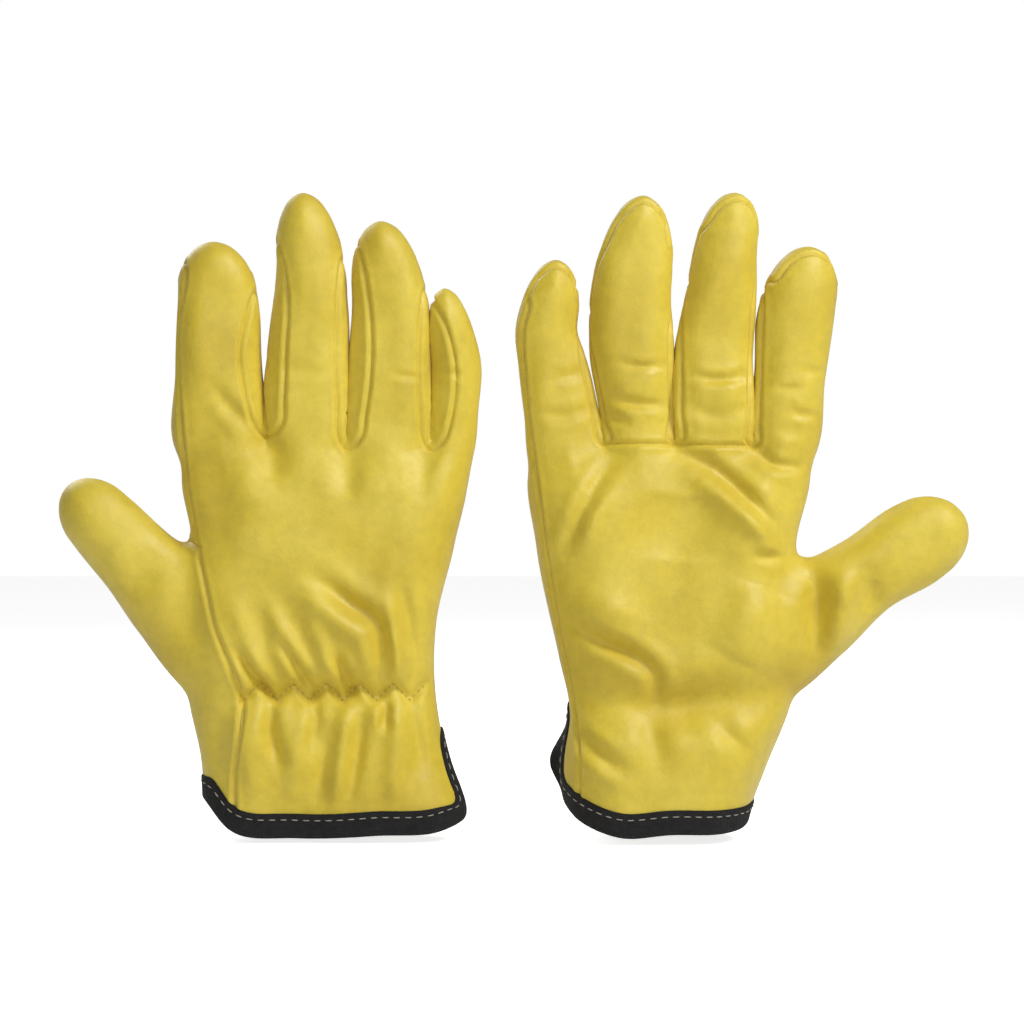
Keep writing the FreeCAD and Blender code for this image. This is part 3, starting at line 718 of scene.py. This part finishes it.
def level_line(points, triangles, column, level):
    """The chains of points where a column of the surface passes a level."""
    value = points[:, column] - level
    value = np.where(value == 0, 1e-6, value)
    links = {}
    where = {}
    n = len(points)
    signs = value[triangles] > 0
    for tri in triangles[(signs.any(1)) & (~signs.all(1))].tolist():
        ends = []
        for a, b in ((tri[0], tri[1]), (tri[1], tri[2]), (tri[2], tri[0])):
            if (value[a] > 0) != (value[b] > 0):
                key = min(a, b) * n + max(a, b)
                if key not in where:
                    t = value[a] / (value[a] - value[b])
                    where[key] = (a, b, t)
                ends.append(key)
        links.setdefault(ends[0], []).append(ends[1])
        links.setdefault(ends[1], []).append(ends[0])
    chains = []
    left = set(links)
    while left:
        start = next((k for k in sorted(left) if len(links[k]) == 1), None)
        if start is None:
            start = min(left)
        chain = [start]
        left.discard(start)
        while True:
            following = [k for k in links[chain[-1]] if k in left]
            if not following:
                break
            chain.append(following[0])
            left.discard(following[0])
        chains.append([where[k] for k in chain])
    return chains


def stitches(glove, name, chain, sizes, material):
    """Short rounded stitches along a line of (point, normal) pairs."""
    long, pitch, thick, rise = sizes
    p = np.array([c[0] for c in chain])
    nrm = np.array([c[1] for c in chain])
    run = np.concatenate([[0], np.cumsum(np.linalg.norm(np.diff(p, axis=0), axis=1))])
    rings = (0.02, 0.12, 0.35, 0.65, 0.88, 0.98)
    sides = 7
    points, faces = [], []
    count = int(run[-1] / pitch)
    for i in range(count):
        first = (i + 0.5) * run[-1] / count - long / 2
        base = len(points)
        for t in rings:
            at = first + t * long
            centre = np.array([np.interp(at, run, p[:, k]) for k in range(3)])
            up = np.array([np.interp(at, run, nrm[:, k]) for k in range(3)])
            after = np.array([np.interp(at + 0.4, run, p[:, k]) for k in range(3)])
            before = np.array([np.interp(at - 0.4, run, p[:, k]) for k in range(3)])
            ahead = after - before
            ahead /= max(np.linalg.norm(ahead), 1e-9)
            up -= ahead * up.dot(ahead)
            up /= max(np.linalg.norm(up), 1e-9)
            across = np.cross(ahead, up)
            arch = math.sin(math.pi * t)
            radius = thick / 2 * (0.35 + 0.65 * arch**0.5)
            centre = centre + up * (rise + 0.5 * thick * arch)
            for s in range(sides):
                angle = 2 * math.pi * s / sides
                points.append(centre + radius * (math.cos(angle) * up + math.sin(angle) * across))
        for r in range(len(rings) - 1):
            for s in range(sides):
                a, b = base + r * sides + s, base + r * sides + (s + 1) % sides
                faces += [(a, b, b + sides), (a, b + sides, a + sides)]
        end = base + (len(rings) - 1) * sides
        for s in range(1, sides - 1):
            faces += [(base, base + s + 1, base + s), (end, end + s, end + s + 1)]
    points = to_world(glove, np.array(points))
    faces = np.array(faces)
    obj = make_mesh(name, points, faces)
    obj.data.materials.append(material)
    return obj


# --- finishes ------------------------------------------------------------------------------------------


class Shader:
    """A small helper that adds nodes and links them."""

    def __init__(self, name, roughness):
        self.material = bpy.data.materials.new(name)
        self.material.use_nodes = True
        self.nodes = self.material.node_tree.nodes
        self.links = self.material.node_tree.links
        self.main = self.nodes["Principled BSDF"]
        self.main.inputs["Roughness"].default_value = roughness
        self.place = self.nodes.new("ShaderNodeTexCoord").outputs["Object"]

    def noise(self, scale, detail=4.0, rough=0.55):
        node = self.nodes.new("ShaderNodeTexNoise")
        node.inputs["Scale"].default_value = scale
        node.inputs["Detail"].default_value = detail
        node.inputs["Roughness"].default_value = rough
        self.links.new(self.place, node.inputs["Vector"])
        return node.outputs["Fac"]

    def cells(self, scale):
        node = self.nodes.new("ShaderNodeTexVoronoi")
        node.inputs["Scale"].default_value = scale
        self.links.new(self.place, node.inputs["Vector"])
        return node.outputs["Distance"]

    def wave(self, scale, direction):
        node = self.nodes.new("ShaderNodeTexWave")
        node.bands_direction = direction
        node.inputs["Scale"].default_value = scale
        node.inputs["Distortion"].default_value = 0.6
        self.links.new(self.place, node.inputs["Vector"])
        return node.outputs["Fac"]

    def ramp(self, factor, stops):
        node = self.nodes.new("ShaderNodeValToRGB")
        while len(node.color_ramp.elements) < len(stops):
            node.color_ramp.elements.new(0.5)
        for element, (at, colour) in zip(node.color_ramp.elements, stops):
            element.position = at
            element.color = (*colour, 1) if hasattr(colour, "__len__") else (colour, colour, colour, 1)
        self.links.new(factor, node.inputs["Fac"])
        return node.outputs["Color"]

    def mix(self, kind, factor, a, b):
        node = self.nodes.new("ShaderNodeMix")
        node.data_type = "RGBA"
        node.blend_type = kind
        node.inputs["Factor"].default_value = factor
        self.links.new(a, node.inputs["A"])
        self.links.new(b, node.inputs["B"])
        return node.outputs["Result"]

    def bump(self, height, strength, distance, before=None):
        node = self.nodes.new("ShaderNodeBump")
        node.inputs["Strength"].default_value = strength
        node.inputs["Distance"].default_value = distance
        self.links.new(height, node.inputs["Height"])
        if before is not None:
            self.links.new(before, node.inputs["Normal"])
        return node.outputs["Normal"]

    def finish(self, colour, normal, roughness=None):
        self.links.new(colour, self.main.inputs["Base Color"])
        self.links.new(normal, self.main.inputs["Normal"])
        if roughness is not None:
            self.links.new(roughness, self.main.inputs["Roughness"])
        return self.material


def leather_finish():
    s = Shader("leather", 0.5)
    s.main.inputs["Specular IOR Level"].default_value = 0.75
    s.main.inputs["Sheen Weight"].default_value = 0.15
    s.main.inputs["Sheen Roughness"].default_value = 0.6
    tones = [(0.3, (0.61, 0.435, 0.010)), (0.5, (0.71, 0.535, 0.022)), (0.72, (0.78, 0.61, 0.05))]
    tone = s.ramp(s.noise(22, 5), tones)
    fleck = s.ramp(s.noise(260, 3), [(0.35, 0.93), (0.6, 1.0)])
    colour = s.mix("MULTIPLY", 1.0, tone, fleck)
    grain = s.bump(s.cells(1100), 0.16, 0.00025)
    wrinkle = s.bump(s.noise(170, 6, 0.6), 0.35, 0.0006, grain)
    rough = s.ramp(s.noise(60, 3), [(0.3, 0.47), (0.7, 0.62)])
    return s.finish(colour, wrinkle, rough)


def tape_finish():
    s = Shader("binding", 0.85)
    tone = s.ramp(s.noise(300, 3), [(0.3, (0.004, 0.004, 0.005)), (0.7, (0.013, 0.012, 0.013))])
    weave = s.mix("ADD", 1.0, s.wave(520, "Z"), s.wave(520, "X"))
    return s.finish(tone, s.bump(weave, 0.5, 0.0004))


def thread_finish(name, colour):
    s = Shader(name, 0.7)
    tone = s.ramp(s.noise(900, 2), [(0.2, tuple(0.8 * c for c in colour)), (0.8, colour)])
    return s.finish(tone, s.bump(s.wave(900, "DIAGONAL"), 0.4, 0.0002))


def cloth_finish(name, colour, scale):
    s = Shader(name, 0.8)
    tone = s.ramp(s.noise(200, 3), [(0.3, tuple(0.85 * c for c in colour)), (0.7, colour)])
    weave = s.mix("ADD", 1.0, s.wave(scale, "Z"), s.wave(scale, "X"))
    return s.finish(tone, s.bump(weave, 0.4, 0.0003))


LEATHER_FINISH = leather_finish()
TAPE_FINISH = tape_finish()
THREAD_FINISH = thread_finish("stitching", (0.42, 0.40, 0.34))
YELLOW_THREAD = thread_finish("stitching_yellow", (0.62, 0.48, 0.10))
ELASTIC_FINISH = cloth_finish("elastic", (0.72, 0.71, 0.66), 420)
LABEL_FINISH = cloth_finish("label", (0.78, 0.78, 0.76), 700)


# --- building the gloves ---------------------------------------------------------------------------------


def panel_columns(glove, p, triangles):
    """The seam functions at each point, each nearly a distance along the surface."""
    x, y, z = p[:, 0], p[:, 1], p[:, 2]
    seam_x = across(LONG_SEAM[glove], z)
    little_x = across(LITTLE_SEAM[glove], z)
    tip_z = interp(tip_seam(glove), x)
    on_back = seam_x - x
    on_palm = np.minimum(little_x - x, tip_z - z)
    columns = [two_sided(on_back, on_palm, y)]
    cx, cz = THUMB_CROTCH[glove]
    gore = [(px, pz) for px, pz in LONG_SEAM[glove] if pz < cz - 4]
    gore += [(cx + 4.0, cz - 1.5), (cx - 2, cz + 2), (-76, 150), (-130, 150), (-130, -20)]
    gore_line = np.array(gore, float)
    inside = inside_distance(gore_line, x, z)
    columns.append(two_sided(-inside, np.full(len(x), 5.0), y - 0.3))
    for back_line, palm_line in gusset_lines(glove):
        columns.append(two_sided(-inside_distance(back_line, x, z), -inside_distance(palm_line, x, z), y))
    base = np.where(np.abs(x) < 70, z - interp(BASE_SEAM[glove], x), 99.0)
    columns.append(base)
    columns = [even_out(p, triangles, c) for c in columns]
    for finger in FINGERS:
        hinge, way = hinge_frame(glove, finger)
        columns.append((p - hinge) @ way + FINGER_CUT)
    hinge, way = hinge_frame(glove, "thumb")
    columns.append((p - hinge) @ way + THUMB_CUT_BELOW)
    return columns


def name_panels(glove, p, triangles):
    """The seam label and the piece name of each triangle."""
    mean = p[triangles].mean(1)
    x, z = mean[:, 0], mean[:, 2]
    finger = sum((x > across(gap, z)).astype(int) for gap in GAPS[glove])
    cut = np.choose(finger, [mean[:, CUT + i] for i in range(4)])
    beyond = (cut > 0) & (z > FINGERS_FROM)
    cx, cz = THUMB_CROTCH[glove]
    beside_hand = x < cx + 3 - 0.55 * np.clip(z - cz, 0, None)
    thumb = (mean[:, THUMB_CUT] > 0) & beside_hand & (z < THUMB_TO)
    front = mean[:, PANEL] > 0
    gore = mean[:, GORE] < 0
    labels = np.where(front, "palm_panel", "back_panel").astype("U40")
    for i, name in ((1, "middle_front"), (2, "ring_front")):
        labels = np.where(front & (finger == i) & (mean[:, BASE] > 0), name, labels)
    labels = np.where(gore, "thumb_back", labels)
    for j, (near, far) in enumerate(zip(FINGERS, FINGERS[1:])):
        strip = (mean[:, GUSSET + j] < 0) & (z > 140)
        labels = np.where(strip, f"fourchette_{near}_{far}", labels)
    names = labels.copy()
    is_strip = np.char.startswith(labels, "fourchette")
    for i, name in enumerate(FINGERS):
        here = beyond & (finger == i)
        names = np.where(here & (labels == "back_panel"), f"{name}_tip_back", names)
        names = np.where(here & ~is_strip & (labels != "back_panel"), f"{name}_tip_front", names)
        for j in (i - 1, i):
            if 0 <= j < 3:
                side = "thumb_side" if j == i - 1 else "little_side"
                own = f"fourchette_{FINGERS[j]}_{FINGERS[j + 1]}"
                names = np.where(here & (labels == own), f"{name}_tip_fourchette_{side}", names)
    names = np.where(thumb & gore, "thumb_tip_back", names)
    names = np.where(thumb & ~gore, "thumb_tip_front", names)
    return labels, names


def attach(glove, obj, node, finger=None):
    """The piece stands for its node: it rides on the hand, or, for a finger's piece, has its place baked
    into the mesh.
    """
    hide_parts(f"{glove}_{node}")
    if finger is None:
        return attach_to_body(obj, f"{glove}_hand")
    hinge, way = hinge_frame(glove, finger)
    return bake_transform(obj)


def patch(glove, name, p, triangles, side, box, depths, material):
    """A square-cut piece of cloth along the inside of the skin, on the back or palm side."""
    x0, x1, z0, z1 = box
    x, y, z = p[:, 0], p[:, 1], p[:, 2]
    beside = np.abs(x - (x0 + x1) / 2) - (x1 - x0) / 2
    above = np.abs(z - (z0 + z1) / 2) - (z1 - z0) / 2
    away = np.maximum(beside, above)
    away = np.where(side * y > 3, away, 20.0)
    points = np.hstack([p[:, :3], away[:, None]])
    points, faces = split(points, triangles, 3, 0.0)
    faces = faces[points[faces][:, :, 3].mean(1) < 0]
    normals = vertex_normals(points[:, :3], faces)
    full = np.ones(len(points))
    outer, inner = depths
    return shell(glove, name, points, normals, faces, outer * full, inner * full, material)


def make_glove(glove):
    p, triangles = glove_surface(glove)
    p = close_gaps(glove, p)
    height = rim_height(glove, p)
    p = np.hstack([p, height[:, None]])
    p, triangles = split(p, triangles, 3, 0.0)
    triangles = triangles[p[triangles][:, :, 3].mean(1) > 0]
    used, index = np.unique(triangles, return_inverse=True)
    p, triangles = p[used], index.reshape(-1, 3)
    p[:, 3] = np.clip(even_out(p[:, :3], triangles, p[:, 3]), 0, None)

    # The binding wraps the rim and the slit.
    band, faces = p, triangles[p[triangles][:, :, 3].min(1) < BINDING + 3]
    for level in (0.3, 0.8, 1.6, BINDING - 0.9, BINDING - 0.3, BINDING):
        band, faces = split(band, faces, 3, level)
    normals = vertex_normals(band[:, :3], faces)
    faces = faces[band[faces][:, :, 3].mean(1) < BINDING]
    s = band[:, 3]
    round_low = np.sqrt(np.clip(1 - (1 - np.clip(s / 1.6, 0, 1)) ** 2, 0, 1))
    round_top = np.sqrt(np.clip(1 - np.clip((s - BINDING + 0.9) / 0.9, 0, 1) ** 2, 0.08, 1))
    middle = -LEATHER / 2
    reach = LEATHER / 2 + TAPE
    outer = middle + 0.2 + (reach - 0.2) * round_low * (0.55 + 0.45 * round_top)
    inner = middle - 0.2 - (reach - 0.2) * round_low
    binding = shell(glove, f"{glove}_cuff_binding_tape", band, normals, faces, outer, inner, TAPE_FINISH)
    attach(glove, binding, "cuff_binding")

    # The stitch line along the binding.
    best = []
    for chain in level_line(band, faces, 3, BINDING - STITCH_INSET):
        line = []
        for a, b, t in chain:
            point = band[a, :3] * (1 - t) + band[b, :3] * t
            up = normals[a] * (1 - t) + normals[b] * t
            line.append((point + up * (outer[a] * (1 - t) + outer[b] * t), up))
        if len(line) > len(best):
            best = line
    thread = stitches(glove, f"{glove}_binding_stitches", best, BINDING_STITCH, THREAD_FINISH)
    attach(glove, thread, "binding_thread")

    # The leather ends inside the tape's fold.
    p, triangles = split(p, triangles, 3, CUT_EDGE)
    triangles = triangles[p[triangles][:, :, 3].mean(1) > CUT_EDGE]
    used, index = np.unique(triangles, return_inverse=True)
    p, triangles = p[used, :3], index.reshape(-1, 3)

    name = f"{glove}_wrist_elastic_band"
    elastic = patch(glove, name, p, triangles, BACK, ELASTIC_BOX, ELASTIC_DEPTHS, ELASTIC_FINISH)
    attach(glove, elastic, "wrist_elastic")
    name = f"{glove}_size_label_patch"
    label = patch(glove, name, p, triangles, PALM, LABEL_BOX, LABEL_DEPTHS, LABEL_FINISH)
    attach(glove, label, "size_label")

    back = p[:, 1] < -4
    tree = KDTree(int(back.sum()))
    for i in np.flatnonzero(back).tolist():
        tree.insert((p[i, 0], p[i, 2], 0), i)
    tree.balance()
    smooth_normals = vertex_normals(p, triangles)

    columns = panel_columns(glove, p, triangles)
    p = np.hstack([p, np.stack(columns, 1), smooth_normals])
    for column in range(PANEL, CUT):
        for level in SEAM_CUTS:
            p, triangles = split(p, triangles, column, level)
    for column in range(CUT, THUMB_CUT + 1):
        p, triangles = split(p, triangles, column, 0.0)
    labels, names = name_panels(glove, p, triangles)
    shape = p[:, -3:] / np.linalg.norm(p[:, -3:], axis=1)[:, None]
    p[:, :3] += shape * boundary_groove(p, triangles, labels)[:, None]
    normals = vertex_normals(p, triangles)
    agree = (normals * shape).sum(1)
    normals = np.where((agree > 0.35)[:, None], normals, shape)

    # The gathering stitches of the wrist elastic.
    line = []
    zig = curve_of_corners(ZIGZAG)
    for x, z in zig:
        near = tree.find_n((x, z, 0), 6)
        weight = np.array([1 / (d + 0.2) for _, _, d in near])
        weight /= weight.sum()
        ids = [i for _, i, _ in near]
        point = np.array([x, (p[ids, 1] * weight).sum(), z])
        line.append((point, (smooth_normals[ids] * weight[:, None]).sum(0)))
    gather = stitches(glove, f"{glove}_elastic_stitches", line, ELASTIC_STITCH, YELLOW_THREAD)
    attach(glove, gather, "elastic_thread")

    full = np.ones(len(p))
    for node in sorted(set(names.tolist())):
        faces = triangles[names == node]
        name = f"{glove}_{node}_leather"
        piece = shell(glove, name, p, normals, faces, 0 * full, -LEATHER * full, LEATHER_FINISH, shape)
        finger = node.split("_")[0] if "_tip_" in node else None
        attach(glove, piece, node, finger)


for glove_name in PLACE:
    make_glove(glove_name)

# --- floor, light and camera -----------------------------------------------------------------------------

# Lamps as name, place, size and power. All point at the middle of the gloves.
AIM = (0, 0, 0.12)
LAMPS = [
    ("key", (0.85, -0.75, 1.15), 0.5, 15),
    ("front", (0.1, -1.6, 0.8), 1.0, 6.8),
    ("behind", (-0.8, 0.95, 1.0), 0.7, 8.5),
]
# How bright the floor and the sky look, and how much light the sky casts. The floor casts none.
FLOOR_SEEN, SKY_SEEN, SKY_CAST = 0.80, 1.0, 0.15
FLOOR_SIZE = 9
LENS, SENSOR, CAMERA_PLACE = 100, 36, (0, -1.106, 0.1269)

bpy.ops.mesh.primitive_plane_add(size=FLOOR_SIZE, location=(0, 0, 0))
floor = bpy.context.object
floor.name = "floor"


def seen_brightness(tree, socket, seen, cast):
    """A strength that is one value where the camera looks at it and another where it lights things."""
    path = tree.nodes.new("ShaderNodeLightPath")
    scale = tree.nodes.new("ShaderNodeMath")
    scale.operation = "MULTIPLY_ADD"
    scale.inputs[1].default_value = seen - cast
    scale.inputs[2].default_value = cast
    tree.links.new(path.outputs["Is Camera Ray"], scale.inputs[0])
    tree.links.new(scale.outputs["Value"], socket)


pale = bpy.data.materials.new("pale")
pale.use_nodes = True
surface = pale.node_tree.nodes["Principled BSDF"]
surface.inputs["Base Color"].default_value = (0.9, 0.9, 0.89, 1)
surface.inputs["Roughness"].default_value = 0.9
surface.inputs["Emission Color"].default_value = (1, 1, 1, 1)
seen_brightness(pale.node_tree, surface.inputs["Emission Strength"], FLOOR_SEEN, 0.0)
floor.data.materials.append(pale)

world = bpy.data.worlds.new("studio")
world.use_nodes = True
sky = world.node_tree.nodes["Background"]
sky.inputs["Color"].default_value = (1, 1, 1, 1)
seen_brightness(world.node_tree, sky.inputs["Strength"], SKY_SEEN, SKY_CAST)
bpy.context.scene.world = world


def lamp(name, place, aim, size, power):
    light = bpy.data.lights.new(name, "AREA")
    light.size = size
    light.energy = power
    obj = bpy.data.objects.new(name, light)
    bpy.context.scene.collection.objects.link(obj)
    obj.location = place
    obj.rotation_euler = (Vector(aim) - Vector(place)).to_track_quat("-Z", "Y").to_euler()
    return obj


for lamp_name, lamp_place, lamp_size, watts in LAMPS:
    lamp(lamp_name, lamp_place, AIM, lamp_size, watts)
bpy.context.scene.view_settings.view_transform = "Standard"

camera = bpy.data.cameras.new("camera")
camera.lens = LENS
camera.sensor_width = SENSOR
view = bpy.data.objects.new("camera", camera)
bpy.context.scene.collection.objects.link(view)
view.location = CAMERA_PLACE
view.rotation_euler = (math.radians(90), 0, 0)
bpy.context.scene.camera = view
